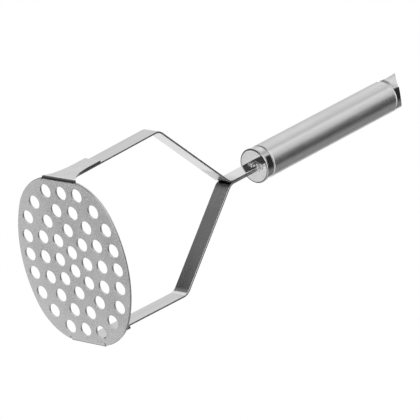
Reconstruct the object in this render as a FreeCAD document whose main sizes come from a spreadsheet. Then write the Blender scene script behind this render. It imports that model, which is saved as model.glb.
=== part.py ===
"""Potato masher: a perforated pressed plate on two bent straps, with a round handle.

Millimetres. +Z runs up the handle. The origin is the middle of the plate's underside. The two arms
stand along X, and the straps' 11 mm width lies along Y. Every driving dimension is a cell of the
size sheet, and sketches and features take their sizes from those cells.
"""
import FreeCAD, Part
import math
import os
import Sketcher

SIZES = {
    # one sheet of steel, for plate and straps alike
    "sheet": 1.2,
    # plate outline: two long side arcs, four corner arcs, two straight ends
    "plate_half_width": 41.3,
    "side_radius": 74.0,
    "corner_radius": 32.0,
    "corner_centre_across": 17.0,
    "rim_chamfer": 0.25,
    "hole_diameter": 8.0,
    # turned-up tabs
    "bend_inside_radius": 1.0,
    "bend_root": 0.3,
    "foot_half_width": 12.9,
    "notch_width": 0.9,
    "notch_depth": 0.8,
    "notch_radius": 0.5,
    "tab_half_width": 6.0,
    "tab_height": 27.8,
    "flare_start": 1.0,
    "flare_meet": 4.8,
    "flare_top": 19.0,
    "flare_radius": 38.0,
    "flare_toe_radius": 6.5,
    # straps
    "strap_width": 11.0,
    "strap_chamfer": 0.2,
    "strap_foot": 2.4,
    "lean": 1.5,
    "shoulder_across": 50.15,
    "shoulder_height": 76.5,
    "shoulder_angle": 45.0,
    "shoulder_radius": 8.0,
    "neck_radius": 6.0,
    "tongue_end": 185.0,
    # dents that the spot-welding electrode leaves on a tab's outer face
    "electrode_radius": 10.3,
    "dent_depth": 0.15,
    "dent_low": 8.5,
    "dent_high": 20.0,
    # ferrule
    "handle_radius": 10.25,
    "face_height": 151.6,
    "face_wall": 1.8,
    "flange_radius": 10.65,
    "flange_edge": 0.4,
    "flange_thickness": 1.4,
    "band_end": 157.5,
    "groove_radius": 9.75,
    "tube_start": 158.4,
    "spigot_radius": 9.0,
    "ferrule_end": 170.0,
    "ferrule_bore_radius": 7.75,
    "slot_width": 11.2,
    "slot_gap": 2.5,
    "bead_radius": 1.25,
    "bead_half_length": 3.3,
    # tube
    "tube_bore_radius": 9.05,
    "tube_end": 271.0,
    "tube_chamfer": 0.4,
    # end cap
    "cap_spigot_start": 262.0,
    "cap_bore_radius": 6.5,
    "cap_bore_end": 272.0,
    "cap_chamfer": 0.5,
    "cap_stock_end": 300.0,
    "cut_height": 285.2,
    "scoop_radius": 22.55,
    "scoop_across": -26.15,
    "scoop_along": -3.89,
    "scoop_height": 284.5,
}

# Hole centres in one quarter of the plate, ring by ring from the middle outwards. A hole on an axis
# is shared by two quarters, so the four quarters together have 44 holes.
HOLE_RINGS = [
    [(5.4, 0.0)],
    [(18.5, 0.0), (11.3, 9.2), (0.0, 10.5)],
    [(29.4, 6.2), (22.0, 14.9), (12.0, 20.7), (0.0, 21.9)],
    [(40.3, 0.0), (40.3, 11.9), (32.3, 22.6), (22.6, 30.0), (11.0, 32.9), (0.0, 33.7)],
]

START, END, CENTRE = 1, 2, 3
SKETCH_ORIGIN = -1

document = FreeCAD.newDocument("potato_masher")


# ---------------------------------------------------------------- sizes and formulas

class Size:
    """A number together with the formula that gives it from the sheet's cells."""

    def __init__(self, value, formula):
        self.value = value
        self.formula = formula

    def __add__(self, other):
        other = as_size(other)
        return Size(self.value + other.value, f"({self.formula} + {other.formula})")

    def __sub__(self, other):
        other = as_size(other)
        return Size(self.value - other.value, f"({self.formula} - {other.formula})")

    def __mul__(self, other):
        other = as_size(other)
        return Size(self.value * other.value, f"({self.formula} * {other.formula})")

    def __truediv__(self, other):
        other = as_size(other)
        return Size(self.value / other.value, f"({self.formula} / {other.formula})")

    def __neg__(self):
        return Size(-self.value, f"(0 - {self.formula})")


def as_size(number):
    return number if isinstance(number, Size) else Size(float(number), f"{number}")


def cell(alias):
    return Size(SIZES[alias], f"Sizes.{alias}")


def sine(angle):
    return Size(math.sin(math.radians(angle.value)), f"sin({angle.formula})")


def cosine(angle):
    return Size(math.cos(math.radians(angle.value)), f"cos({angle.formula})")


def tangent(angle):
    return Size(math.tan(math.radians(angle.value)), f"tan({angle.formula})")


def square_root(number):
    return Size(math.sqrt(number.value), f"sqrt({number.formula})")


def write_sheet():
    """Put every size, and the hole centres, into the sheet as plain numbers with aliases."""
    sheet = document.addObject("Spreadsheet::Sheet", "Sizes")
    centres = [centre for ring in HOLE_RINGS for centre in ring]
    for number, (across, along) in enumerate(centres, 1):
        SIZES[f"hole_{number}_across"] = across
        SIZES[f"hole_{number}_along"] = along
    for row, (alias, value) in enumerate(SIZES.items(), 1):
        sheet.set(f"A{row}", alias)
        sheet.set(f"B{row}", f"{value}")
        sheet.setAlias(f"B{row}", alias)
    document.recompute()
    return len(centres)


# ---------------------------------------------------------------- sketches and features

def add_body(name):
    body = document.addObject("PartDesign::Body", name)
    body.Label = name
    return body


def origin_plane(body, role):
    return next(item for item in body.Origin.OriginFeatures if item.Role == role)


def add_sketch(body, name, role):
    sketch = body.newObject("Sketcher::SketchObject", name)
    sketch.AttachmentSupport = [(origin_plane(body, role), "")]
    sketch.MapMode = "FlatFace"
    return sketch


def pin(sketch, element, point, across, up):
    """Hold one point of a sketch element at two formulas."""
    for kind, size in (("DistanceX", across), ("DistanceY", up)):
        rule = Sketcher.Constraint(kind, SKETCH_ORIGIN, START, element, point, size.value)
        index = sketch.addConstraint(rule)
        sketch.setExpression(f"Constraints[{index}]", size.formula)


def bind_radius(sketch, element, radius):
    index = sketch.addConstraint(Sketcher.Constraint("Radius", element, radius.value))
    sketch.setExpression(f"Constraints[{index}]", radius.formula)


def arc_between(here, there, radius, turn):
    """The minor arc from here to there that turns left (1) or right (-1), drawn anticlockwise."""
    chord = there - here
    reach = math.sqrt(max(radius * radius - chord.Length ** 2 / 4, 0.0))
    left = FreeCAD.Vector(-chord.y, chord.x, 0) / chord.Length
    centre = (here + there) / 2 + left * reach * turn
    first, last = (here, there) if turn > 0 else (there, here)
    circle = Part.Circle(centre, FreeCAD.Vector(0, 0, 1), radius)
    return Part.ArcOfCircle(circle, circle.parameter(first), circle.parameter(last))


def draw_outline(sketch, points, arcs=None):
    """Draw a closed outline through points, each a pair of sizes, in order.

    arcs maps the number of a point to (radius, turn): the side that leaves that point is then an
    arc of that radius, which turns left (1) or right (-1). Every other side is straight.
    """
    arcs = arcs or {}
    points = [(as_size(across), as_size(up)) for across, up in points]
    spots = [FreeCAD.Vector(across.value, up.value, 0) for across, up in points]
    sides = []
    for number, here in enumerate(spots):
        there = spots[(number + 1) % len(spots)]
        radius, turn = arcs.get(number, (None, 1))
        if radius is None:
            element = sketch.addGeometry(Part.LineSegment(here, there), False)
        else:
            element = sketch.addGeometry(arc_between(here, there, radius.value, turn), False)
        sides.append((element, START, END) if turn > 0 else (element, END, START))
    for number, (element, first, last) in enumerate(sides):
        pin(sketch, element, first, *points[number])
        next_element, next_first, _ = sides[(number + 1) % len(sides)]
        sketch.addConstraint(Sketcher.Constraint("Coincident", element, last, next_element, next_first))
        if number in arcs:
            bind_radius(sketch, element, arcs[number][0])


def draw_circle(sketch, across, up, radius):
    centre = FreeCAD.Vector(across.value, up.value, 0)
    circle = Part.Circle(centre, FreeCAD.Vector(0, 0, 1), radius.value)
    element = sketch.addGeometry(circle, False)
    pin(sketch, element, CENTRE, across, up)
    bind_radius(sketch, element, radius)


def pad(body, sketch, length, both_ways=False):
    feature = body.newObject("PartDesign::Pad", sketch.Name + "_pad")
    feature.Profile = sketch
    feature.SideType = "Symmetric" if both_ways else "One side"
    feature.setExpression("Length", length.formula)
    return feature


def pocket(body, sketch, both_ways=False):
    """Cut a sketch through the whole body, on both sides of the sketch or only ahead of it."""
    feature = body.newObject("PartDesign::Pocket", sketch.Name + "_cut")
    feature.Profile = sketch
    feature.Type = "ThroughAll"
    feature.SideType = "Symmetric" if both_ways else "One side"
    feature.Reversed = not both_ways
    return feature


def revolve(body, sketch):
    feature = body.newObject("PartDesign::Revolution", sketch.Name + "_turned")
    feature.Profile = sketch
    feature.ReferenceAxis = (sketch, ["V_Axis"])
    feature.Angle = 360.0
    return feature


def mirror(body, feature, role):
    """Add the mirror image of everything made so far, across one of the body's own planes."""
    image = body.newObject("PartDesign::Mirrored", f"{feature.Name}_mirrored")
    image.TransformMode = "Whole shape"
    image.MirrorPlane = (origin_plane(body, role), [""])
    image.Refine = True
    body.Tip = image
    document.recompute()
    return image


def bevel_edges(body, feature, kind, size, chosen):
    """Round ("Fillet") or chamfer ("Chamfer") the edges that a test picks."""
    document.recompute()
    edges = feature.Shape.Edges
    names = [f"Edge{number}" for number, edge in enumerate(edges, 1) if chosen(edge)]
    bevel = body.newObject(f"PartDesign::{kind}", f"{feature.Name}_{kind.lower()}")
    bevel.Base = (feature, names)
    bevel.setExpression("Radius" if kind == "Fillet" else "Size", size.formula)
    body.Tip = bevel
    document.recompute()
    return bevel


def subtract_sphere(body, name, radius, centre):
    feature = body.newObject("PartDesign::SubtractiveSphere", name)
    feature.setExpression("Radius", radius.formula)
    feature.Placement.Base = centre
    return feature


# ---------------------------------------------------------------- shared geometry of the arms

SHEET = cell("sheet")
LEAN = cell("lean")
HANDLE_RADIUS = cell("handle_radius")


def strap_outer_face(height):
    """Distance across from the middle to the outer face of the leaning strap, at a height."""
    drop = cell("shoulder_height") - height
    return cell("shoulder_across") - drop * tangent(LEAN)


def beyond_joint_face(side, height, distance):
    """A point that lies straight out from the joint face of strap and tab, by a distance."""
    face = strap_outer_face(as_size(height)).value
    lean = math.radians(LEAN.value)
    out = FreeCAD.Vector(math.cos(lean) * side, 0, -math.sin(lean))
    return FreeCAD.Vector(face * side, 0, height) + out * distance


# ---------------------------------------------------------------- mashing plate

def build_mashing_plate(hole_count):
    """One quarter of the sheet, with its share of the holes and half a tab, mirrored twice."""
    body = add_body("mashing_plate")
    bend_radius = cell("bend_inside_radius") + SHEET
    outer_face_reach = strap_outer_face(as_size(0)) * cosine(LEAN) + SHEET
    bend_start = (outer_face_reach - bend_radius + bend_radius * sine(LEAN)) / cosine(LEAN)

    # flat quarter: end, relief notch beside the tab, corner arc, half a side arc
    foot = cell("foot_half_width")
    notch_far_side = foot + cell("notch_width")
    notch_floor = bend_start - cell("notch_depth")
    flat_end = bend_start - cell("bend_root")
    side_centre = cell("plate_half_width") - cell("side_radius")
    radius_step = cell("side_radius") - cell("corner_radius")
    corner_x = cell("corner_centre_across")
    corner_rise = square_root(radius_step * radius_step - corner_x * corner_x)
    corner_y = side_centre + corner_rise
    notch_rise = notch_far_side - corner_y
    corner_radius = cell("corner_radius")
    corner_end = corner_x + square_root(corner_radius * corner_radius - notch_rise * notch_rise)
    meet_x = corner_x * cell("side_radius") / radius_step
    meet_y = side_centre + corner_rise * cell("side_radius") / radius_step
    flat = add_sketch(body, "flat_quarter", "XY_Plane")
    outline = [
        (0, 0),
        (flat_end, 0),
        (flat_end, foot),
        (notch_floor, foot),
        (notch_floor, notch_far_side),
        (corner_end, notch_far_side),
        (meet_x, meet_y),
        (0, cell("plate_half_width")),
    ]
    draw_outline(flat, outline, {
        3: (cell("notch_radius"), -1),
        5: (corner_radius, 1),
        6: (cell("side_radius"), 1),
    })
    pad(body, flat, SHEET)

    # bend and tab in section, as wide as the foot
    outer_x = bend_start + bend_radius * cosine(LEAN)
    outer_z = bend_radius - bend_radius * sine(LEAN)
    inner_x = bend_start + cell("bend_inside_radius") * cosine(LEAN)
    inner_z = bend_radius - cell("bend_inside_radius") * sine(LEAN)
    tab_top = cell("tab_height")
    tab_top_x = outer_x + (tab_top - outer_z) * tangent(LEAN)
    root = flat_end - cell("bend_root")
    section = add_sketch(body, "tab_section", "XZ_Plane")
    draw_outline(section, [
        (root, 0),
        (bend_start, 0),
        (outer_x, outer_z),
        (tab_top_x, tab_top),
        (tab_top_x - SHEET * cosine(LEAN), tab_top + SHEET * sine(LEAN)),
        (inner_x, inner_z),
        (bend_start, SHEET),
        (root, SHEET),
    ], {1: (bend_radius, 1), 5: (cell("bend_inside_radius"), -1)})
    tab = pad(body, section, foot)
    tab.Reversed = True

    # flare: a long arc runs down from the tab's parallel part into a tight one at the toe
    half_width = cell("tab_half_width")
    flare_radius = cell("flare_radius")
    flare_drop = cell("flare_top") - cell("flare_meet")
    meet_half_width = half_width + flare_radius - square_root(
        flare_radius * flare_radius - flare_drop * flare_drop)
    clear_of_tab = foot + foot
    above_tab = tab_top + SHEET
    flare = add_sketch(body, "flare", "YZ_Plane")
    draw_outline(flare, [
        (half_width, above_tab),
        (half_width, cell("flare_top")),
        (meet_half_width, cell("flare_meet")),
        (foot, cell("flare_start")),
        (foot, SHEET),
        (clear_of_tab, SHEET),
        (clear_of_tab, above_tab),
    ], {1: (flare_radius, 1), 2: (cell("flare_toe_radius"), 1)})
    pocket(body, flare)

    holes = add_sketch(body, "holes", "XY_Plane")
    for number in range(1, hole_count + 1):
        centre = cell(f"hole_{number}_across"), cell(f"hole_{number}_along")
        draw_circle(holes, *centre, cell("hole_diameter") / 2)
    quarter = pocket(body, holes)
    document.recompute()

    half = mirror(body, quarter, "XZ_Plane")
    whole = mirror(body, half, "YZ_Plane")

    # blanking rolls the lower edge of the rim over, and leaves the upper one square
    def on_lower_rim(edge):
        box = edge.BoundBox
        level = box.ZLength < 1e-6 and abs(box.ZMin) < 1e-6
        return level and edge.Curve.TypeId == "Part::GeomCircle" and edge.Curve.Radius > 20.0

    bevel_edges(body, whole, "Chamfer", cell("rim_chamfer"), on_lower_rim)

    # two spot welds hold each strap inside its tab, and each leaves a shallow round dent outside
    ball_distance = SHEET + cell("electrode_radius") - cell("dent_depth")
    for side, side_name in ((-1, "left"), (1, "right")):
        for level in ("low", "high"):
            centre = beyond_joint_face(side, SIZES[f"dent_{level}"], ball_distance.value)
            subtract_sphere(body, f"{side_name}_dent_{level}", cell("electrode_radius"), centre)
    return body


# ---------------------------------------------------------------- arms

def build_arm(name, side):
    """A flat strap: leg, shoulder, slanted run, neck and tongue. side is -1 for left, 1 for right."""
    body = add_body(name)
    foot = cell("strap_foot")
    foot_x = strap_outer_face(foot)
    slope = cell("shoulder_angle")
    shoulder_x, shoulder_z = cell("shoulder_across"), cell("shoulder_height")
    neck_z = shoulder_z + (shoulder_x - SHEET) / tangent(slope)
    # inner faces: the leg's is x = leg_start + z tan(lean), the slanted run's z = run_top - x / tan(slope)
    leg_start = strap_outer_face(as_size(0)) - SHEET / cosine(LEAN)
    run_top = shoulder_z + shoulder_x / tangent(slope) - SHEET / sine(slope)
    inner_x = (leg_start + run_top * tangent(LEAN)) / (tangent(LEAN) / tangent(slope) + 1)
    inner_z = run_top - inner_x / tangent(slope)
    outline = [
        (foot_x, foot),
        (shoulder_x, shoulder_z),
        (SHEET, neck_z),
        (SHEET, cell("tongue_end")),
        (as_size(0), cell("tongue_end")),
        (as_size(0), run_top),
        (inner_x, inner_z),
        (foot_x - SHEET * cosine(LEAN), foot + SHEET * sine(LEAN)),
    ]
    profile = add_sketch(body, f"{name}_profile", "XZ_Plane")
    draw_outline(profile, [(across * side, up) for across, up in outline])
    strap = pad(body, profile, cell("strap_width"), both_ways=True)
    document.recompute()

    def bend_at(across, up):
        def chosen(edge):
            middle = edge.CenterOfMass
            straight_across = edge.BoundBox.YLength > SIZES["strap_width"] - 1.0
            return straight_across and abs(abs(middle.x) - across.value) + abs(middle.z - up.value) < 0.05
        return chosen

    bends = [
        (cell("shoulder_radius"), bend_at(shoulder_x, shoulder_z)),
        (cell("shoulder_radius") - SHEET, bend_at(inner_x, inner_z)),
        (cell("neck_radius"), bend_at(SHEET, neck_z)),
        (cell("neck_radius") + SHEET, bend_at(as_size(0), run_top)),
    ]
    for radius, chosen in bends:
        strap = bevel_edges(body, strap, "Fillet", radius, chosen)

    def long_edge(edge):
        box = edge.BoundBox
        on_side = box.YLength < 1e-6 and abs(abs(box.YMin) - SIZES["strap_width"] / 2) < 1e-6
        return on_side and edge.Length > SIZES["sheet"] + 0.1

    bevel_edges(body, strap, "Chamfer", cell("strap_chamfer"), long_edge)
    return body


# ---------------------------------------------------------------- weld

def build_ferrule_weld():
    """A quarter-round bead on each flat of the tongue, in its corner with the ferrule's face."""
    half_length = cell("bead_half_length")
    lay_along_y = FreeCAD.Rotation(FreeCAD.Vector(1, 0, 0), -90)
    beads = []
    for side, side_name, turn in ((1, "right", 0), (-1, "left", 180)):
        bead = document.addObject("Part::Cylinder", f"bead_{side_name}")
        bead.Angle = 90.0
        bead.setExpression("Radius", cell("bead_radius").formula)
        bead.setExpression("Height", (half_length * 2).formula)
        bead.Placement.Rotation = FreeCAD.Rotation(FreeCAD.Vector(0, 0, 1), turn) * lay_along_y
        bead.setExpression("Placement.Base.x", (SHEET * side).formula)
        bead.setExpression("Placement.Base.y", (half_length * -side).formula)
        bead.setExpression("Placement.Base.z", cell("face_height").formula)
        beads.append(bead)
    group = document.addObject("Part::Compound", "ferrule_weld")
    group.Label = "ferrule_weld"
    group.Links = beads
    return group


# ---------------------------------------------------------------- handle

def build_ferrule():
    """A turned cup: flat face with a thin flange, polished band, groove, and a spigot for the tube."""
    body = add_body("ferrule")
    face, band_end = cell("face_height"), cell("band_end")
    flange_radius, flange_edge = cell("flange_radius"), cell("flange_edge")
    flange_back = face + cell("flange_thickness")
    inside = face + cell("face_wall")
    profile = add_sketch(body, "ferrule_profile", "XZ_Plane")
    draw_outline(profile, [
        (0, face),
        (flange_radius - flange_edge, face),
        (flange_radius, face + flange_edge),
        (flange_radius, flange_back),
        (HANDLE_RADIUS, flange_back),
        (HANDLE_RADIUS, band_end),
        (cell("groove_radius"), band_end),
        (cell("groove_radius"), cell("tube_start")),
        (cell("spigot_radius"), cell("tube_start")),
        (cell("spigot_radius"), cell("ferrule_end")),
        (cell("ferrule_bore_radius"), cell("ferrule_end")),
        (cell("ferrule_bore_radius"), inside),
        (0, inside),
    ])
    revolve(body, profile)
    document.recompute()
    slot = add_sketch(body, "tongue_slot", "XY_Plane")
    half_gap, half_width = cell("slot_gap") / 2, cell("slot_width") / 2
    draw_outline(slot, [
        (-half_gap, -half_width),
        (half_gap, -half_width),
        (half_gap, half_width),
        (-half_gap, half_width),
    ])
    pocket(body, slot)
    return body


def build_handle_tube():
    """A plain thin tube with its outer end edges chamfered."""
    body = add_body("handle_tube")
    chamfer = cell("tube_chamfer")
    start, end = cell("tube_start"), cell("tube_end")
    profile = add_sketch(body, "tube_profile", "XZ_Plane")
    draw_outline(profile, [
        (cell("tube_bore_radius"), start),
        (HANDLE_RADIUS - chamfer, start),
        (HANDLE_RADIUS, start + chamfer),
        (HANDLE_RADIUS, end - chamfer),
        (HANDLE_RADIUS - chamfer, end),
        (cell("tube_bore_radius"), end),
    ])
    revolve(body, profile)
    return body


def build_end_cap():
    """A turned plug whose free end is cut at 45 degrees and scooped by a ball cutter on one side."""
    body = add_body("end_cap")
    start, chamfer = cell("tube_end"), cell("cap_chamfer")
    profile = add_sketch(body, "cap_profile", "XZ_Plane")
    draw_outline(profile, [
        (cell("cap_bore_radius"), cell("cap_spigot_start")),
        (cell("spigot_radius"), cell("cap_spigot_start")),
        (cell("spigot_radius"), start),
        (HANDLE_RADIUS - chamfer, start),
        (HANDLE_RADIUS, start + chamfer),
        (HANDLE_RADIUS, cell("cap_stock_end")),
        (0, cell("cap_stock_end")),
        (0, cell("cap_bore_end")),
        (cell("cap_bore_radius"), cell("cap_bore_end")),
    ])
    revolve(body, profile)
    document.recompute()

    # everything above the plane z = cut_height + y goes
    beyond = HANDLE_RADIUS * 1.5
    middle, top = cell("cut_height"), cell("cap_stock_end") + 10.0
    slant = add_sketch(body, "slanted_end", "YZ_Plane")
    draw_outline(slant, [
        (-beyond, middle - beyond),
        (beyond, middle + beyond),
        (beyond, top),
        (-beyond, top),
    ])
    pocket(body, slant, both_ways=True)
    document.recompute()
    ball_centre = FreeCAD.Vector(SIZES["scoop_across"], SIZES["scoop_along"], SIZES["scoop_height"])
    subtract_sphere(body, "scoop", cell("scoop_radius"), ball_centre)
    return body


# ---------------------------------------------------------------- build, check and write

def check(parts):
    failed = [item.Name for item in document.Objects if {"Invalid", "Error"} & set(item.State)]
    if failed:
        raise RuntimeError(f"objects that failed: {failed}")
    for part in parts:
        if part.Shape.isNull() or not part.Shape.isValid():
            raise RuntimeError(f"{part.Label} has no valid shape")
        box = part.Shape.BoundBox
        print(f"{part.Label}: {len(part.Shape.Solids)} solids, {part.Shape.Volume:.1f} mm3, "
              f"x {box.XMin:.2f}..{box.XMax:.2f}, y {box.YMin:.2f}..{box.YMax:.2f}, "
              f"z {box.ZMin:.2f}..{box.ZMax:.2f}")


def main():
    hole_count = write_sheet()
    parts = [
        build_mashing_plate(hole_count),
        build_arm("left_arm", -1),
        build_arm("right_arm", 1),
        build_ferrule(),
        build_ferrule_weld(),
        build_handle_tube(),
        build_end_cap(),
    ]
    document.recompute()
    check(parts)
    os.makedirs("parts", exist_ok=True)
    for part in parts:
        part.Shape.exportStep(f"parts/{part.Label}.step")


main()
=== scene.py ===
# %% [markdown]
# # A potato masher in punched, drawn and polished steel
#
# This lesson dresses a finished CAD model of an all-steel potato masher. The model stands on its
# perforated plate at the origin, with the handle along +Z, and every length here is in metres. The
# shapes that carry and join things come from the CAD model. What is added is what a camera sees:
# softened edges, the grain that each tool left in the steel, a lumpy weld, and a studio to reflect,
# because steel has hardly any colour of its own.
#
# The first step loads the CAD model as a fixed frame and prints the names of its pieces.

# %% Load the fixed frame
import math
import random

import bmesh
import bpy
from mathutils import Matrix, Quaternion, Vector, noise


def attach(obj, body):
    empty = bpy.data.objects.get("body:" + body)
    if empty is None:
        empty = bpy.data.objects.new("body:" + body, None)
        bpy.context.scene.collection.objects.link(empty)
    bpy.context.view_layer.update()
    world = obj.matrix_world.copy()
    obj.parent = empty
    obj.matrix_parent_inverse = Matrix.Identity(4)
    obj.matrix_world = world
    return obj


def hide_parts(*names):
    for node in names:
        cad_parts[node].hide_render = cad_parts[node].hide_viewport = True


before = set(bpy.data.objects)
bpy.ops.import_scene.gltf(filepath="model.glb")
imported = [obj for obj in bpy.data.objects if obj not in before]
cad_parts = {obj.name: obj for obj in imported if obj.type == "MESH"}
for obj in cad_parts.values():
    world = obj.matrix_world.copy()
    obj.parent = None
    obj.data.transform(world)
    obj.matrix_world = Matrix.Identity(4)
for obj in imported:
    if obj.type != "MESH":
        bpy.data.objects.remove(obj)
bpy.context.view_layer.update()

MM = 0.001
print("pieces of the masher:", ", ".join(sorted(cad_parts)))

# %% [markdown]
# ## The camera
#
# The masher is seen from below the plate, from far away and through a long lens, which is why the
# straps hardly taper. A long lens is a narrow angle of view, so `lens` is large against the 36 mm
# sensor. The camera could be aimed with a tracking constraint, but a direction and a roll are
# easier to read: a heading round the Z axis, a climb above the level, and a tilt of the frame.

# %% Set the camera
AIM = Vector((14.2, 5.3, 115.7)) * MM
DISTANCE = 1.9
HEADING = math.radians(63.03)
CLIMB = math.radians(41.45)
TILT = math.radians(61.75)
SENSOR_WIDTH = 36.0
FOCAL_LENGTH = 284.6


def direction(heading, climb):
    """The unit vector that points along a heading, at a climb above the level."""
    level = math.cos(climb)
    return Vector((level * math.cos(heading), level * math.sin(heading), math.sin(climb)))


looking = direction(HEADING, CLIMB)
camera_data = bpy.data.cameras.new("camera")
camera_data.sensor_width = SENSOR_WIDTH
camera_data.lens = FOCAL_LENGTH
camera = bpy.data.objects.new("camera", camera_data)
camera.rotation_mode = "QUATERNION"
camera.rotation_quaternion = looking.to_track_quat("-Z", "Y") @ Quaternion((0, 0, 1), TILT)
camera.location = AIM - looking * DISTANCE
bpy.context.scene.collection.objects.link(camera)
bpy.context.scene.camera = camera
bpy.context.scene.view_settings.view_transform = "Standard"
print("camera at", [round(value, 3) for value in camera.location])

# %% [markdown]
# ## A helper for shader nodes
#
# Every finish below, and the studio itself, is a small tree of shader nodes. One helper adds a node,
# sets its properties and feeds its inputs, so that a recipe reads as a list of steps. An input is
# given either a plain value or the output of a node made before. The others are short names for
# the nodes used most. A noise texture seldom leaves the middle of its range, so `vary` spreads that
# busy middle over the range that is wanted.

# %% Add a shader node
BUSY_MIDDLE = (0.3, 0.7)


def add_node(tree, kind, inputs=None, **settings):
    """Add a node to a tree. inputs maps the name or number of an input to a value or an output."""
    node = tree.nodes.new("ShaderNode" + kind)
    for name, value in settings.items():
        setattr(node, name, value)
    for name, value in (inputs or {}).items():
        if isinstance(value, bpy.types.NodeSocket):
            tree.links.new(value, node.inputs[name])
        else:
            node.inputs[name].default_value = value
    return node


def calculate(tree, operation, *values):
    """The output of a Math node."""
    return add_node(tree, "Math", dict(enumerate(values)), operation=operation).outputs[0]


def dot(tree, vector, fixed):
    """The output of a dot product with a fixed vector."""
    node = add_node(tree, "VectorMath", {0: vector, 1: fixed}, operation="DOT_PRODUCT")
    return node.outputs["Value"]


def remap(tree, value, low, high, to_low, to_high, kind="LINEAR"):
    """Carry a value from the range low..high over to to_low..to_high, clamped at both ends."""
    inputs = {"Value": value, "From Min": low, "From Max": high, "To Min": to_low, "To Max": to_high}
    return add_node(tree, "MapRange", inputs, interpolation_type=kind).outputs["Result"]


def vary(tree, texture, low, high):
    """Spread the busy middle of a noise texture over the range low..high."""
    return remap(tree, texture, *BUSY_MIDDLE, low, high)


# %% [markdown]
# ## The studio
#
# Bare steel looks like whatever stands round it. A photographer builds that on purpose: a white tent
# all round, and black or grey cards that draw dark bands down the metal. The world is the tent, plain
# white at a strength of 1. The camera, the paper and the steel all see the same white.

# %% Raise the white tent
TENT_STRENGTH = 1.0


def build_tent():
    world = bpy.data.worlds.new("tent")
    world.use_nodes = True
    background = world.node_tree.nodes["Background"]
    background.inputs["Color"].default_value = (1, 1, 1, 1)
    background.inputs["Strength"].default_value = TENT_STRENGTH
    return world


bpy.context.scene.world = build_tent()
print("the tent's strength is", TENT_STRENGTH)

# %% [markdown]
# The cards hang far away, each in some direction from the masher: a heading and a climb for its
# middle, and half angles for its width and height, all in degrees. The tone is how bright it is next
# to the tent. A list of directions is easier to adjust than a set of lamps, because it says straight
# away where a reflected ray must go to meet a card. Two dark cards are there twice: once far away,
# for the underside of the plate, and once lying on the paper, for the higher parts that look down.

# %% List the cards
CARDS = {
    "dark_half_of_the_room": dict(heading=328.5, climb=32, width=36, height=62, fade=17, tone=0.247),
    "tall_black_flag": dict(heading=284, climb=35, width=20.5, height=66, fade=27, tone=0.032),
    "narrow_black_flag": dict(heading=249.5, climb=43.5, width=36, height=6, fade=3, tone=0.032),
    "grey_card_overhead": dict(heading=129, climb=60, width=18, height=6, fade=6, tone=0.376),
    "strip_light": dict(heading=209.5, climb=41, width=6.7, height=44, fade=20, tone=1.172),
    "grey_strip": dict(heading=195.5, climb=41, width=11, height=44, fade=22, tone=0.581),
    "lit_paper": dict(heading=63, climb=-24, width=50, height=16, fade=16, tone=1.269),
    "shade_under_the_plate": dict(heading=63, climb=-66, width=40, height=18, fade=10, tone=0.667),
    "lit_paper_in_front": dict(heading=235, climb=-30, width=44, height=30, fade=10, tone=1.15),
    "gap_beyond_the_paper": dict(heading=60, climb=-1, width=64, height=8, fade=6, tone=0.054),
    "low_flag": dict(heading=137, climb=-26, width=46, height=34, fade=12, tone=0.204),
    "low_black_card": dict(heading=112, climb=-40, width=17, height=14, fade=10, tone=0.065),
    "floor_flag": dict(heading=137, climb=-26, width=46, height=34, fade=12, tone=0.204, lies=True),
    "black_card": dict(heading=112, climb=-40, width=17, height=14, fade=10, tone=0.065, lies=True),
    "window": dict(heading=104, climb=42, width=18, height=16, fade=14, tone=0.796),
}
print(len(CARDS), "cards:", ", ".join(CARDS))

# %% [markdown]
# A card in a real studio is a little out of focus in the steel, and its rim looks soft. Here the
# material does that. The card's own two axes give how far a point lies from its middle, and a smooth
# step at the rim fades the card out. The glow isn't sampled as a lamp, because most cards are nearly
# black and the steel finds them by reflection anyway.

# %% Recipe for a card
def build_card_material(name, middle, axes, fade, tone):
    """A glow of some tone that fades out at the rim. axes pairs each axis with its half angle."""
    material = bpy.data.materials.new(name)
    material.use_nodes = True
    material.cycles.emission_sampling = "NONE"
    tree = material.node_tree
    tree.nodes.clear()
    point = add_node(tree, "TexCoord").outputs["Object"]
    ahead = dot(tree, point, middle)
    cover = 1.0
    for axis, half_angle in axes:
        offset = calculate(tree, "ABSOLUTE", calculate(tree, "DIVIDE", dot(tree, point, axis), ahead))
        inside = math.tan(math.radians(half_angle - fade / 2))
        outside = math.tan(math.radians(half_angle + fade / 2))
        within = remap(tree, offset, inside, outside, 1.0, 0.0, "SMOOTHSTEP")
        cover = calculate(tree, "MULTIPLY", cover, within)
    glow = add_node(tree, "Emission", {"Color": (1, 1, 1, 1), "Strength": tone})
    clear = add_node(tree, "BsdfTransparent")
    both = add_node(tree, "MixShader", {0: cover, 1: clear.outputs[0], 2: glow.outputs[0]})
    add_node(tree, "OutputMaterial", {"Surface": both.outputs[0]})
    return material


# %% [markdown]
# A flat panel that covers a wide angle would have to be huge, and panels would cut through each
# other. So each card is bent round the masher like a piece of a globe. One that comes later in the
# list hangs a little nearer, or lies a little higher on the paper, and covers those before it. The
# cards are kept out of the camera's sight, as a photographer keeps them out of the frame.

# %% Hang the cards
CARD_DISTANCE = 12.0
CARD_STEP = 0.2
CARD_LIFT = 0.05 * MM
CARD_FACES = 48


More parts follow.
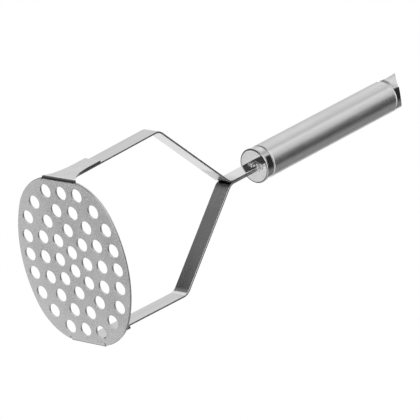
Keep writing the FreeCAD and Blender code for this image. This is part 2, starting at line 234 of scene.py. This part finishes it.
def hang_card(name, number, heading, climb, width, height, fade, tone, lies=False):
    """Hang a bent card. width and height are half angles, and fade is the rim's, in degrees."""
    distance = CARD_DISTANCE - CARD_STEP * number
    drop = AIM.z - CARD_LIFT * number
    middle = direction(math.radians(heading), math.radians(climb))
    sideways = Vector((0, 0, 1)).cross(middle).normalized()
    upwards = middle.cross(sideways)
    steps = [2 * step / CARD_FACES - 1 for step in range(CARD_FACES + 1)]
    corners = []
    for up in steps:
        rise = math.tan(math.radians((height + fade / 2) * up))
        for side in steps:
            shift = math.tan(math.radians((width + fade / 2) * side))
            towards = (middle + sideways * shift + upwards * rise).normalized()
            falls = lies and -towards.z * distance > drop
            corners.append(towards * (drop / -towards.z if falls else distance))
    row = CARD_FACES + 1
    starts = [up * row + side for up in range(CARD_FACES) for side in range(CARD_FACES)]
    faces = [(start, start + 1, start + row + 1, start + row) for start in starts]
    mesh = bpy.data.meshes.new(name)
    mesh.from_pydata(corners, [], faces)
    axes = ((sideways, width), (upwards, height))
    mesh.materials.append(build_card_material(name, middle, axes, fade, tone))
    card = bpy.data.objects.new(name, mesh)
    card.location = AIM
    card.visible_camera = False
    card.visible_diffuse = not lies
    card.visible_shadow = not lies
    bpy.context.scene.collection.objects.link(card)


for number, (name, card) in enumerate(CARDS.items()):
    hang_card(name, number, **card)
print("the nearest card hangs at", round(CARD_DISTANCE - CARD_STEP * (len(CARDS) - 1), 1), "m")

# %% [markdown]
# ## The floor
#
# The masher stands on pale paper. The picture is taken from underneath it, so the paper has to be
# there for a camera above and gone for one below. A mix of a diffuse and a transparent shader does
# that: it is diffuse only where its top side is met, and only near the masher, so that the paper
# runs out into the white with no horizon. All lengths are in metres.
#
# The camera and the steel both see the paper, and Light Path says which ray is asking. The plate lies
# on the paper and would mirror only its own contact shadow, while the photograph shows it held up in
# the light, so a reflection that has come less than two centimetres passes through. The paper has
# a faint glow of its own, because the masher's shadow would else be heavier than a studio's.

# %% Lay the paper
FLOOR_SIZE = 4.0
FLOOR_DROP = 0.05 * MM
FLOOR_SOLID = 0.25
FLOOR_GONE = 1.1
CONTACT = 20 * MM
PAPER_SHADES = (0.93, 0.97)
PAPER_GLOW = 0.33
FIBRES_PER_METRE = 900.0


def build_paper_material():
    material = bpy.data.materials.new("paper")
    material.use_nodes = True
    tree = material.node_tree
    tree.nodes.clear()
    place = add_node(tree, "NewGeometry")
    from_middle = add_node(tree, "VectorMath", {0: place.outputs["Position"]}, operation="LENGTH")
    near = remap(tree, from_middle.outputs["Value"], FLOOR_SOLID, FLOOR_GONE, 1.0, 0.0, "SMOOTHSTEP")
    front = calculate(tree, "SUBTRACT", 1.0, place.outputs["Backfacing"])
    path = add_node(tree, "LightPath").outputs
    mirrored = calculate(tree, "ADD", path["Is Glossy Ray"], path["Is Transmission Ray"])
    far_enough = calculate(tree, "GREATER_THAN", path["Ray Length"], CONTACT)
    mirrored = calculate(tree, "MULTIPLY", mirrored, far_enough)
    seen = calculate(tree, "MINIMUM", calculate(tree, "ADD", path["Is Camera Ray"], mirrored), 1.0)
    cover = calculate(tree, "MULTIPLY", calculate(tree, "MULTIPLY", near, front), seen)
    fibre_inputs = {"Vector": place.outputs["Position"], "Scale": FIBRES_PER_METRE, "Detail": 3.0}
    fibre = add_node(tree, "TexNoise", fibre_inputs).outputs["Fac"]
    shade = vary(tree, fibre, *PAPER_SHADES)
    paper = add_node(tree, "BsdfDiffuse", {"Color": shade, "Roughness": 1.0})
    glow = add_node(tree, "Emission", {"Color": shade, "Strength": PAPER_GLOW})
    lit = add_node(tree, "AddShader", {0: paper.outputs[0], 1: glow.outputs[0]})
    clear = add_node(tree, "BsdfTransparent")
    both = add_node(tree, "MixShader", {0: cover, 1: clear.outputs[0], 2: lit.outputs[0]})
    add_node(tree, "OutputMaterial", {"Surface": both.outputs[0]})
    return material


def build_floor():
    half = FLOOR_SIZE / 2
    corners = [(-half, -half), (half, -half), (half, half), (-half, half)]
    mesh = bpy.data.meshes.new("floor")
    mesh.from_pydata([(x, y, -FLOOR_DROP) for x, y in corners], [], [range(4)])
    mesh.materials.append(build_paper_material())
    floor = bpy.data.objects.new("floor", mesh)
    bpy.context.scene.collection.objects.link(floor)


build_floor()
print("paper runs out at", FLOOR_GONE, "m from the masher")

# %% [markdown]
# One large soft lamp stands above and to the side. It gives the paper a soft shadow and the tops of
# the edges a little more light. Steel that mirrors the lamp sees it on top of the tent, and can turn
# white: the cap's slanted face does, seen level from its front. A weaker lamp would help there.

# %% Hang the soft lamp
LAMP_SIZE = 0.9
LAMP_POWER = 3.0
LAMP_DISTANCE = 1.3


def hang_lamp(name, heading, climb):
    data = bpy.data.lights.new(name, "AREA")
    data.size = LAMP_SIZE
    data.energy = LAMP_POWER
    lamp = bpy.data.objects.new(name, data)
    outward = direction(math.radians(heading), math.radians(climb))
    lamp.location = AIM + outward * LAMP_DISTANCE
    lamp.rotation_euler = outward.to_track_quat("Z", "Y").to_euler()
    bpy.context.scene.collection.objects.link(lamp)
    return lamp


lamp = hang_lamp("soft_lamp", heading=60, climb=80)
print("lamp at", [round(value, 2) for value in lamp.location])

# %% [markdown]
# ## Steel, and how a tool marks it
#
# All the steel here is one alloy, so one base recipe serves: a fully metallic Principled shader of a
# pale, nearly neutral grey. What differs is the surface. Rolling, drawing and brushing leave fine
# lines that run one way, and turning leaves rings. A noise whose space is squeezed across the lines
# and stretched along them gives such lines. `grain` takes the spacing on each axis in metres, so a
# recipe says how far apart the real marks are.
#
# Two kinds of marks matter: lines too fine to see one by one, which are the shader's roughness, and
# coarser ones that do show, which are bump. Handling adds a third, faint patches where the gloss
# changes.

# %% Mark the steel
def start_steel(name, grey, roughness, anisotropy=0.0):
    """A metallic material. Returns it, its node tree and its Principled shader."""
    material = bpy.data.materials.new(name)
    material.use_nodes = True
    tree = material.node_tree
    shader = tree.nodes["Principled BSDF"]
    shader.inputs["Metallic"].default_value = 1.0
    shader.inputs["Base Color"].default_value = (grey, grey, grey, 1.0)
    shader.inputs["Roughness"].default_value = roughness
    shader.inputs["Anisotropic"].default_value = anisotropy
    return material, tree, shader


def object_point(tree):
    """The point on the piece, in metres in the masher's own frame."""
    return add_node(tree, "TexCoord").outputs["Object"]


def object_normal(tree):
    """The way the surface faces, in the masher's own frame."""
    return add_node(tree, "TexCoord").outputs["Normal"]


def grain(tree, point, spacing, detail=2.0, seed=0.0):
    """Noise from 0 to 1 whose features are about as long on each axis as spacing says."""
    squeezed = add_node(tree, "VectorMath", {0: point, 1: spacing}, operation="DIVIDE")
    shifted = add_node(tree, "VectorMath", {0: squeezed.outputs[0], 1: (seed, seed, seed)})
    inputs = {"Vector": shifted.outputs[0], "Scale": 1.0, "Detail": detail}
    return add_node(tree, "TexNoise", inputs).outputs["Fac"]


def around_axis(tree, point):
    """The point as (distance from the handle's axis, height, 0), which is alike all round."""
    parts = add_node(tree, "SeparateXYZ", {0: point})
    flat = add_node(tree, "CombineXYZ", {0: parts.outputs["X"], 1: parts.outputs["Y"]})
    radius = add_node(tree, "VectorMath", {0: flat.outputs[0]}, operation="LENGTH").outputs["Value"]
    return add_node(tree, "CombineXYZ", {0: radius, 1: parts.outputs["Z"]}).outputs[0]


def facing(tree, axis, low, high):
    """0 to 1 as the surface turns from across an axis to square to it, on either side."""
    along = calculate(tree, "ABSOLUTE", dot(tree, object_normal(tree), axis))
    return remap(tree, along, low, high, 0.0, 1.0)


def blend(tree, share, first, second):
    """Fade from a first value to a second as share goes from 0 to 1."""
    return add_node(tree, "Mix", {0: share, 2: first, 3: second}, data_type="FLOAT").outputs[0]


def emboss(tree, shader, layers):
    """Stack bump layers, each a height from 0 to 1 and what 1 means in metres, on a shader."""
    normal = None
    for value, height in layers:
        inputs = {"Height": value, "Distance": height, "Strength": 1.0}
        if normal is not None:
            inputs["Normal"] = normal
        normal = add_node(tree, "Bump", inputs).outputs[0]
    tree.links.new(normal, shader.inputs["Normal"])


# %% [markdown]
# ### The plate
#
# The plate is blanked and punched from rolled sheet and then tumbled. Its underside is the working
# face, so it is the dullest surface of all, with a fine grain and cloudy patches. The walls that the
# punch tore are rougher still, while the press has burnished the outside of the two bends. One
# material can tell these places apart by the way the surface faces and by its height.
#
# The press also leaves the sheet a touch dished towards its rim. A bump layer that falls smoothly
# with the distance from the middle shows it, as a paler rim on one side and a darker rim on the
# other, and a painted highlight makes the flat faces a little paler towards the rim all round. The
# distance is counted in half sizes of the plate, so that 1 is its rim.

# %% Recipe for the plate
ALONG_X, ALONG_Y, ALONG_Z = (1, 0, 0), (0, 1, 0), (0, 0, 1)
SHEET_TOP = 1.3 * MM
PLATE_HALF_SIZES = (48 * MM, 41.5 * MM, 1.0)
DISH_FROM = 0.55
DISH_TO = 1.2
TILTED = (0.15, 0.35)


def build_plate_steel():
    material, tree, shader = start_steel("plate_steel", 0.6, 0.28)
    point = object_point(tree)
    speckle = grain(tree, point, (0.9 * MM, 0.9 * MM, 0.9 * MM), detail=3.0)
    cloud = grain(tree, point, (7 * MM, 11 * MM, 7 * MM), detail=3.0, seed=4.0)
    wave = grain(tree, point, (22 * MM, 22 * MM, 22 * MM), detail=0.0, seed=9.0)

    flat = facing(tree, ALONG_Z, 0.45, 0.65)
    in_sheet = remap(tree, dot(tree, point, ALONG_Z), SHEET_TOP, SHEET_TOP * 1.2, 1.0, 0.0)
    upright = facing(tree, ALONG_Z, 0.6, 0.2)
    punched = calculate(tree, "MULTIPLY", upright, in_sheet)
    tilted_out, tilted_down = facing(tree, ALONG_X, *TILTED), facing(tree, ALONG_Z, *TILTED)
    bent = calculate(tree, "MULTIPLY", tilted_out, tilted_down)

    across = add_node(tree, "VectorMath", {0: point, 1: PLATE_HALF_SIZES}, operation="DIVIDE")
    level = add_node(tree, "VectorMath", {0: across.outputs[0], 1: (1, 1, 0)}, operation="MULTIPLY")
    reach = add_node(tree, "VectorMath", {0: level.outputs[0]}, operation="LENGTH")
    dish = remap(tree, reach.outputs["Value"], DISH_FROM, DISH_TO, 0.0, 1.0, "SMOOTHSTEP")

    clouds, speckles = vary(tree, cloud, -0.022, 0.022), vary(tree, speckle, -0.045, 0.045)
    mottle = calculate(tree, "ADD", clouds, speckles)
    # The flat faces are painted a little paler towards the rim, 0.44 against 0.395: a painted
    # highlight along the dish.
    flat_grey_with_painted_rim_light = blend(tree, dish, 0.395, 0.44)
    grey = calculate(tree, "ADD", blend(tree, flat, 0.71, flat_grey_with_painted_rim_light), mottle)
    tree.links.new(grey, shader.inputs["Base Color"])
    dull = blend(tree, punched, vary(tree, cloud, 0.24, 0.32), 0.5)
    tree.links.new(blend(tree, bent, dull, 0.15), shader.inputs["Roughness"])

    middle = calculate(tree, "SUBTRACT", 1.0, dish)
    emboss(tree, shader, [(middle, 0.9 * MM), (wave, 0.5 * MM), (speckle, 0.012 * MM)])
    return material


plate_steel = build_plate_steel()
print(plate_steel.name, "has", len(plate_steel.node_tree.nodes), "nodes")

# %% [markdown]
# ### The straps
#
# The straps are slit from drawn strip, so fine lines run along them through every bend, and they
# are bright enough to mirror the tent. The strap's width lies along Y and its path in the XZ plane,
# so a noise that changes quickly along Y and slowly along X and Z follows the bends by itself. The
# slit edges are duller than the rolled faces, and so is the neck, where the straps were pressed
# together. The tongue, where both run into the handle, was buffed along with the weld, which makes
# it glossier, and it is painted paler as well: a painted highlight that makes it the brightest part.
# Above the neck the inner faces close on each other, and hardly any light gets in: that shade is
# painted into the colour, as a dark base on the faces that look towards the middle.

# %% Recipe for the straps
NECK = 118 * MM
NECK_REACH = 3.5 * MM
BUFFED_AND_PAINTED_BRIGHT_FROM = 128 * MM
BUFFED_AND_PAINTED_BRIGHT_TO = 134 * MM
CREVICE_SHADE_FROM = 122 * MM
CREVICE_SHADE_TO = 124.5 * MM


def build_strap_steel():
    material, tree, shader = start_steel("strap_steel", 0.74, 0.2)
    point, normal = object_point(tree), object_normal(tree)
    lines = grain(tree, point, (60 * MM, 0.5 * MM, 60 * MM), detail=3.0)
    bands = grain(tree, point, (90 * MM, 2.2 * MM, 90 * MM), detail=2.0, seed=3.0)
    patches = grain(tree, point, (14 * MM, 6 * MM, 14 * MM), detail=3.0, seed=6.0)
    wave = grain(tree, point, (26 * MM, 26 * MM, 26 * MM), detail=0.0, seed=2.0)

    slit = facing(tree, ALONG_Y, 0.6, 0.95)
    height = dot(tree, point, ALONG_Z)
    buffed_and_painted_bright = remap(tree, height, BUFFED_AND_PAINTED_BRIGHT_FROM, BUFFED_AND_PAINTED_BRIGHT_TO, 0.0, 1.0)
    outward = calculate(tree, "MULTIPLY", dot(tree, point, ALONG_X), dot(tree, normal, ALONG_X))
    inner = remap(tree, outward, 0.0, 0.3 * MM, 1.0, 0.0)
    closing = remap(tree, height, CREVICE_SHADE_FROM, CREVICE_SHADE_TO, 0.0, 1.0)
    inner_closing = calculate(tree, "MULTIPLY", inner, closing)
    # Painted shade: the inner faces above the neck, where little light gets in, are darkened in the
    # colour.
    painted_crevice_shade = calculate(tree, "MULTIPLY", inner_closing, calculate(tree, "SUBTRACT", 1.0, slit))
    from_neck = calculate(tree, "ABSOLUTE", calculate(tree, "SUBTRACT", height, NECK))
    pressed = remap(tree, from_neck, NECK_REACH, NECK_REACH * 1.6, 1.0, 0.0)
    # The buffed tongue is painted paler, 0.89 against 0.69: a painted highlight. The buffing itself
    # is its lower roughness.
    grey = calculate(tree, "ADD", blend(tree, buffed_and_painted_bright, 0.69, 0.89), vary(tree, bands, -0.037, 0.037))
    tree.links.new(blend(tree, painted_crevice_shade, grey, 0.15), shader.inputs["Base Color"])
    bright = blend(tree, buffed_and_painted_bright, vary(tree, patches, 0.16, 0.24), 0.12)
    bright = blend(tree, pressed, bright, 0.36)
    tree.links.new(blend(tree, slit, bright, 0.36), shader.inputs["Roughness"])
    emboss(tree, shader, [(wave, 0.35 * MM), (bands, 0.006 * MM), (lines, 0.002 * MM)])
    return material


strap_steel = build_strap_steel()
print(strap_steel.name, "has", len(strap_steel.node_tree.nodes), "nodes")

# %% [markdown]
# ### The tube
#
# The tube is satin: ground by a belt while it turns, so its hair-thin scratches run round it. Such
# scratches smear a reflection along the tube and leave it fairly sharp round it, which is why the
# cards draw clean bands down the whole handle. The Principled shader calls this anisotropy. It needs
# a direction, a tangent, given here by a Tangent node that runs round the Z axis and is turned by a
# quarter so that the smear goes along.

# %% Recipe for the tube
def build_satin_steel():
    material, tree, shader = start_steel("satin_steel", 0.84, 0.29, anisotropy=0.97)
    point = object_point(tree)
    rings = grain(tree, around_axis(tree, point), (5 * MM, 0.35 * MM, 1.0), detail=3.0)
    streaks = grain(tree, point, (0.9 * MM, 0.9 * MM, 60 * MM), detail=3.0, seed=5.0)
    patches = grain(tree, point, (8 * MM, 8 * MM, 20 * MM), detail=3.0, seed=8.0)
    grey = calculate(tree, "ADD", vary(tree, streaks, 0.76, 0.80), vary(tree, rings, -0.011, 0.011))
    tree.links.new(grey, shader.inputs["Base Color"])
    tree.links.new(vary(tree, patches, 0.27, 0.31), shader.inputs["Roughness"])
    emboss(tree, shader, [(streaks, 0.003 * MM), (rings, 0.001 * MM)])
    along = add_node(tree, "Tangent", direction_type="RADIAL", axis="Z")
    shader.inputs["Anisotropic Rotation"].default_value = 0.25
    tree.links.new(along.outputs[0], shader.inputs["Tangent"])
    return material


satin_steel = build_satin_steel()
print(satin_steel.name, "has", len(satin_steel.node_tree.nodes), "nodes")

# %% [markdown]
# ### Ferrule and end cap
#
# Both ends of the handle are turned and then polished on a wheel. They mirror the room, with only
# the ghost of the turning rings, a soft unevenness from the wheel and some hairline scratches. Near
# the rim of the ferrule's face runs a fine dark line, a painted dark reflection. It is a ring of a
# certain radius on the face, so it can be drawn by the material alone.

# %% Recipe for the polished parts
FERRULE_FACE = 151.6 * MM
DARK_LINE_RADIUS = 10.05 * MM
DARK_LINE_WIDTH = 0.5 * MM


def build_polished_steel():
    material, tree, shader = start_steel("polished_steel", 0.78, 0.07)
    point = object_point(tree)
    rings = grain(tree, around_axis(tree, point), (0.6 * MM, 0.6 * MM, 1.0), detail=2.0)
    smear = grain(tree, point, (3 * MM, 3 * MM, 3 * MM), detail=3.0, seed=7.0)
    hairlines = grain(tree, point, (0.3 * MM, 4 * MM, 0.6 * MM), detail=4.0, seed=1.0)
    grey = calculate(tree, "ADD", vary(tree, smear, 0.61, 0.68), vary(tree, rings, -0.019, 0.019))
    # A dark ring near the rim of the face, blended into the colour: a painted dark reflection.
    place = add_node(tree, "SeparateXYZ", {0: around_axis(tree, point)})
    past_dark_line = calculate(tree, "SUBTRACT", place.outputs["X"], DARK_LINE_RADIUS)
    off_dark_line = calculate(tree, "ABSOLUTE", past_dark_line)
    on_dark_line = remap(tree, off_dark_line, DARK_LINE_WIDTH / 2, DARK_LINE_WIDTH, 1.0, 0.0)
    on_face = remap(tree, place.outputs["Y"], FERRULE_FACE, FERRULE_FACE + 0.2 * MM, 1.0, 0.0)
    painted_dark_line = calculate(tree, "MULTIPLY", on_dark_line, on_face)
    tree.links.new(blend(tree, painted_dark_line, grey, 0.10), shader.inputs["Base Color"])
    tree.links.new(vary(tree, smear, 0.04, 0.09), shader.inputs["Roughness"])
    emboss(tree, shader, [(smear, 0.02 * MM), (rings, 0.002 * MM), (hairlines, 0.0015 * MM)])
    return material


polished_steel = build_polished_steel()
print(polished_steel.name, "has", len(polished_steel.node_tree.nodes), "nodes")

# %% [markdown]
# ### The weld
#
# The bead was left as it froze: bright glassy crests where the metal ran last and dull, scaly
# hollows between them.

# %% Recipe for the weld
def build_weld_metal():
    material, tree, shader = start_steel("weld_metal", 0.7, 0.2)
    point = object_point(tree)
    scale = grain(tree, point, (0.5 * MM, 0.5 * MM, 0.5 * MM), detail=3.0)
    ripples = grain(tree, point, (0.9 * MM, 0.3 * MM, 0.9 * MM), detail=2.0, seed=3.0)
    tree.links.new(vary(tree, scale, 0.40, 0.86), shader.inputs["Base Color"])
    tree.links.new(vary(tree, scale, 0.32, 0.10), shader.inputs["Roughness"])
    emboss(tree, shader, [(ripples, 0.10 * MM), (scale, 0.04 * MM)])
    return material


weld_metal = build_weld_metal()
print(weld_metal.name, "has", len(weld_metal.node_tree.nodes), "nodes")

# %% [markdown]
# ## Edges
#
# No real edge is perfectly sharp: a punch pulls a hole's rim round, and a file or a tumbling drum
# takes off the rest. That thin round is what catches the light. The CAD mesh stays as it is, so a
# copy of it stands for the piece. The copy's split corners are welded, its flat triangles melt into
# whole faces, and a Bevel modifier rounds every edge sharper than a given angle. A Weighted Normal
# modifier then keeps large flat faces flat in the shading.

# %% Round the edges of a copy
WELD_GAP = 0.001 * MM
FLAT_ANGLE = math.radians(0.5)
SHARP_ANGLE = math.radians(24)


def melt_flat_faces(mesh):
    """Weld split corners and melt coplanar triangles together."""
    work = bmesh.new()
    work.from_mesh(mesh)
    bmesh.ops.remove_doubles(work, verts=work.verts, dist=WELD_GAP)
    bmesh.ops.dissolve_limit(work, angle_limit=FLAT_ANGLE, verts=work.verts, edges=work.edges)
    work.to_mesh(mesh)
    work.free()


def settle(piece):
    """Replace a piece's mesh and modifiers by the final mesh that they give."""
    depsgraph = bpy.context.evaluated_depsgraph_get()
    final = bpy.data.meshes.new_from_object(piece.evaluated_get(depsgraph))
    piece.modifiers.clear()
    piece.data = final


def soften(piece, width, segments):
    """Round the sharp edges of a piece by a width."""
    bevel = piece.modifiers.new("edges", "BEVEL")
    bevel.width = width
    bevel.segments = segments
    bevel.limit_method = "ANGLE"
    bevel.angle_limit = SHARP_ANGLE
    bevel.miter_outer = "MITER_ARC"
    weighted = piece.modifiers.new("flat_faces", "WEIGHTED_NORMAL")
    weighted.keep_sharp = False
    settle(piece)


def stand_in(name, mesh, node, material):
    """Make a mesh into a piece that rides with the masher and stands for a CAD node."""
    mesh.materials.clear()
    mesh.materials.append(material)
    for face in mesh.polygons:
        face.use_smooth = True
    piece = bpy.data.objects.new(name, mesh)
    bpy.context.scene.collection.objects.link(piece)
    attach(piece, "root")
    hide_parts(node)
    return piece


def rounded_copy(node, name, width, material, segments=2):
    """A copy of a CAD node with its edges rounded by a width."""
    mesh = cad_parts[node].data.copy()
    mesh.name = name
    melt_flat_faces(mesh)
    piece = stand_in(name, mesh, node, material)
    soften(piece, width, segments)
    print(name, "has", len(piece.data.polygons), "faces")


# %% [markdown]
# ## The plate and the straps
#
# The plate's punched rims are small rounds. The straps come from strip with rolled corners, which
# are rounder, and each corner draws a thin bright line beside the dull slit edge.

# %% Dress the plate and the straps
rounded_copy("mashing_plate", "punched_plate", 0.14 * MM, plate_steel)
for side in ("left", "right"):
    rounded_copy(f"{side}_arm", f"{side}_strap", 0.5 * MM, strap_steel, segments=4)

# %% [markdown]
# ## The handle
#
# The tube's ends are barely rounded, while the polishing wheel has rounded the ferrule and the cap
# more.

# %% Dress the handle
rounded_copy("handle_tube", "tube", 0.2 * MM, satin_steel)
rounded_copy("ferrule", "ferrule_cup", 0.3 * MM, polished_steel)
rounded_copy("end_cap", "slanted_cap", 0.5 * MM, polished_steel)

# %% [markdown]
# ## The weld bead
#
# A bead of weld freezes drop by drop. The copy is built the same way: overlapping drops of uneven
# size are laid along the corner between the tongue and the ferrule's face, a few of them run round
# the tongue's near corner, and a Remesh modifier melts them into one skin, which is then roughened by
# a noise. Sculpting would do too, but a few drops and a noise can be repeated and adjusted. The drops
# come from a random generator with a fixed seed, so the bead is the same on every run.

# %% Pile up the drops of the weld
STRAP = 1.2 * MM
BEAD_HALF_LENGTH = 3.1 * MM
DROPS_IN_A_ROW = 8
ROWS = [
    dict(down=0.4, reach=1.0, least=0.75, most=1.1),
    dict(down=1.7, reach=0.75, least=0.5, most=0.85),
]
CORNER_DROPS = [
    (-1.6, -4.1, 0.60),
    (-1.5, -5.1, 0.75),
    (-1.0, -6.0, 0.75),
    (0.0, -6.1, 0.65),
    (0.9, -5.9, 0.5),
]
CORNER_DOWN = 0.3 * MM
CHANCE_SEED = 11
SKIN = 0.11 * MM
SCALE_HEIGHT = 0.14 * MM
LUMP = 0.45 * MM
GRIT = 0.2 * MM


def lay_drop(work, centre, radius):
    place = Matrix.Translation(centre)
    bmesh.ops.create_icosphere(work, subdivisions=3, radius=radius, matrix=place)


def build_weld_bead():
    work = bmesh.new()
    chance = random.Random(CHANCE_SEED)
    for side in (-1, 1):
        for row in ROWS:
            for step in range(DROPS_IN_A_ROW):
                along = row["reach"] * BEAD_HALF_LENGTH * (2 * step / (DROPS_IN_A_ROW - 1) - 1)
                radius = chance.uniform(row["least"], row["most"]) * MM
                out = STRAP + chance.uniform(-0.1, 0.5) * MM
                up = FERRULE_FACE - (row["down"] + chance.uniform(-0.4, 0.4)) * MM
                lay_drop(work, (side * out, along, up), radius)
    for across, along, radius in CORNER_DROPS:
        lay_drop(work, (across * MM, along * MM, FERRULE_FACE - CORNER_DOWN), radius * MM)
    mesh = bpy.data.meshes.new("weld_bead")
    work.to_mesh(mesh)
    work.free()
    bead = stand_in("weld_bead", mesh, "ferrule_weld", weld_metal)
    skin = bead.modifiers.new("skin", "REMESH")
    skin.mode = "VOXEL"
    skin.voxel_size = SKIN
    skin.use_smooth_shade = True
    settle(bead)
    normals = [vertex.normal.copy() for vertex in bead.data.vertices]
    for vertex, normal in zip(bead.data.vertices, normals):
        swell = noise.noise(vertex.co / LUMP) + 0.5 * noise.noise(vertex.co / GRIT)
        vertex.co += normal * swell * SCALE_HEIGHT
    return bead


bead = build_weld_bead()
print("the bead has", len(bead.data.polygons), "faces")
